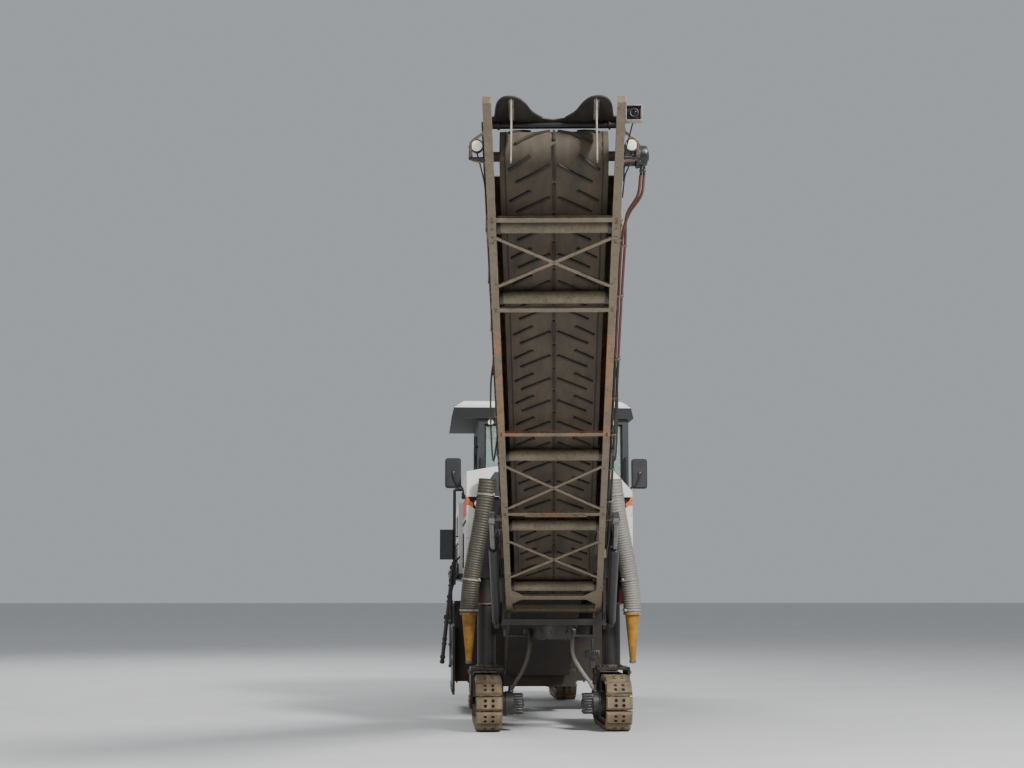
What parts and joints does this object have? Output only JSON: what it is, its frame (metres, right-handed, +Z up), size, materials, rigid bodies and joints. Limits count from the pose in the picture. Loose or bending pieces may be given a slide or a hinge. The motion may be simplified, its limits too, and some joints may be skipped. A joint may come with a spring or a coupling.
{
  "type": "cold planer milling machine",
  "caption": "Tracked cold milling machine with a glazed cab, a milling drum under its frame and a slewing front discharge conveyor.",
  "frame": {"origin": "middle of the machine's box on the ground", "axes": "+X forward along the machine, +Y to its left, +Z up"},
  "size_m": [14.3999, 2.5144, 5.6048],
  "materials": {
    "white_paint": "satin",
    "orange_paint": "satin",
    "black_paint": "satin",
    "grey_paint": "matt",
    "dusty_steel": "dusty",
    "rusty_steel": "rusty",
    "belt_rubber": "dusty",
    "track_pad": "dusty",
    "lamp_glass": "clear",
    "red_lens": "clear",
    "window_glass": "clear",
    "rod_chrome": "polished",
    "hose_grey": "corrugated",
    "yellow_plastic": "worn",
    "seat_fabric": "woven",
    "black_plastic": "matt",
    "engine_iron": "painted"
  },
  "bodies": {
    "machine": {"chassis_frame": "black_paint", "front_body": "black_paint", "front_hood": "white_paint", "side_panels": "white_paint", "flash_panels": "orange_paint", "front_lamps": "lamp_glass", "marker_lamps": "red_lens", "platform_deck": "black_paint", "handrails": "black_paint", "cab_frame": "grey_paint", "cab_glass": "window_glass", "cab_roof": "white_paint", "seats": "seat_fabric", "consoles": "black_plastic", "engine_block": "engine_iron", "engine_bay": "white_paint", "radiator_grille": "black_plastic", "drum_housing": "rusty_steel", "gathering_board": "rusty_steel", "primary_conveyor": "rusty_steel", "primary_belt": "belt_rubber", "hoses": "hose_grey", "hose_spouts": "yellow_plastic", "mirrors": "black_plastic", "control_box": "black_plastic"},
    "slewing_bracket": {"slew_bracket": "black_paint"},
    "conveyor": {"conveyor_frame": "dusty_steel", "conveyor_belt": "belt_rubber", "belt_rollers": "dusty_steel", "head_deflector": "belt_rubber", "work_lamps": "lamp_glass", "drive_motor": "black_paint"},
    "lift_barrels": {"lift_barrels": "black_paint"},
    "lift_rods": {"lift_rods": "rod_chrome"},
    "track_unit_front_left": {"track_frame_front_left": "black_paint", "track_front_left": "track_pad"},
    "track_unit_front_right": {"track_frame_front_right": "black_paint", "track_front_right": "track_pad"},
    "track_unit_rear_left": {"track_frame_rear_left": "black_paint", "track_rear_left": "track_pad"},
    "track_unit_rear_right": {"track_frame_rear_right": "black_paint", "track_rear_right": "track_pad"},
    "milling_rotor": {"milling_drum": "rusty_steel"},
    "door": {"cab_door": "grey_paint"},
    "hood": {"engine_hood": "white_paint"},
    "scraper": {"scraper_blade": "rusty_steel"},
    "protector_left": {"edge_protector_left": "black_paint"},
    "protector_right": {"edge_protector_right": "black_paint"}
  },
  "joints": [
    {"name": "conveyor_slew", "type": "hinge", "parent": "machine", "child": "slewing_bracket", "pos_m": [0.22034, 0, 1.2], "axis": [0, 0, 1], "range_deg": [-55.65, 64.35]},
    {"name": "conveyor_lift", "type": "hinge", "parent": "slewing_bracket", "child": "conveyor", "pos_m": [0.33003, -0.00834, 1.63], "axis": [-0.0758, -0.9971, 0], "range_deg": [-15, 7]},
    {"name": "lift_barrel_swing", "type": "hinge", "parent": "slewing_bracket", "child": "lift_barrels", "pos_m": [0.28017, -0.00455, 1.22], "axis": [-0.0758, -0.9971, 0], "range_deg": [-15, 8]},
    {"name": "lift_rod_stroke", "type": "slide", "parent": "lift_barrels", "child": "lift_rods", "axis": [0.8294, -0.0631, 0.5551], "range_m": [-0.12, 0.06]},
    {"name": "steer_front_left", "type": "hinge", "parent": "machine", "child": "track_unit_front_left", "pos_m": [-0.52966, 0.735, 0.7], "axis": [0, 0, 1], "range_deg": [-25, 25]},
    {"name": "steer_front_right", "type": "hinge", "parent": "machine", "child": "track_unit_front_right", "pos_m": [-0.52966, -0.735, 0.7], "axis": [0, 0, 1], "range_deg": [-25, 25]},
    {"name": "steer_rear_left", "type": "hinge", "parent": "machine", "child": "track_unit_rear_left", "pos_m": [-6.12966, 0.62, 0.7], "axis": [0, 0, 1], "range_deg": [-25, 25]},
    {"name": "steer_rear_right", "type": "hinge", "parent": "machine", "child": "track_unit_rear_right", "pos_m": [-6.12966, -0.62, 0.7], "axis": [0, 0, 1], "range_deg": [-25, 25]},
    {"name": "drum_spin", "type": "hinge", "parent": "machine", "child": "milling_rotor", "pos_m": [-3.62966, 0, 0.84], "axis": [0, 1, 0], "continuous": true},
    {"name": "cab_door_swing", "type": "hinge", "parent": "machine", "child": "door", "pos_m": [-3.38766, -0.7924, 2.7], "axis": [0, 0, -1], "range_deg": [0, 95]},
    {"name": "engine_hood_tilt", "type": "hinge", "parent": "machine", "child": "hood", "pos_m": [-7.14966, 0, 2.3004], "axis": [0, -1, 0], "range_deg": [0, 60]},
    {"name": "scraper_swing", "type": "hinge", "parent": "machine", "child": "scraper", "pos_m": [-4.24506, 0, 1.15], "axis": [0, 1, 0], "range_deg": [0, 75]},
    {"name": "protector_left_lift", "type": "slide", "parent": "machine", "child": "protector_left", "axis": [0, 0, 1], "range_m": [-0.2, 0.3]},
    {"name": "protector_right_lift", "type": "slide", "parent": "machine", "child": "protector_right", "axis": [0, 0, 1], "range_m": [-0.2, 0.3]}
  ],
  "couplings": [
    {"joint": "lift_barrel_swing", "follows": "conveyor_lift", "ratio": 0.87459},
    {"joint": "lift_rod_stroke", "follows": "conveyor_lift", "m_per_rad": 0.32768},
    {"joint": "steer_front_right", "follows": "steer_front_left", "ratio": 1},
    {"joint": "steer_rear_right", "follows": "steer_rear_left", "ratio": 1}
  ]
}
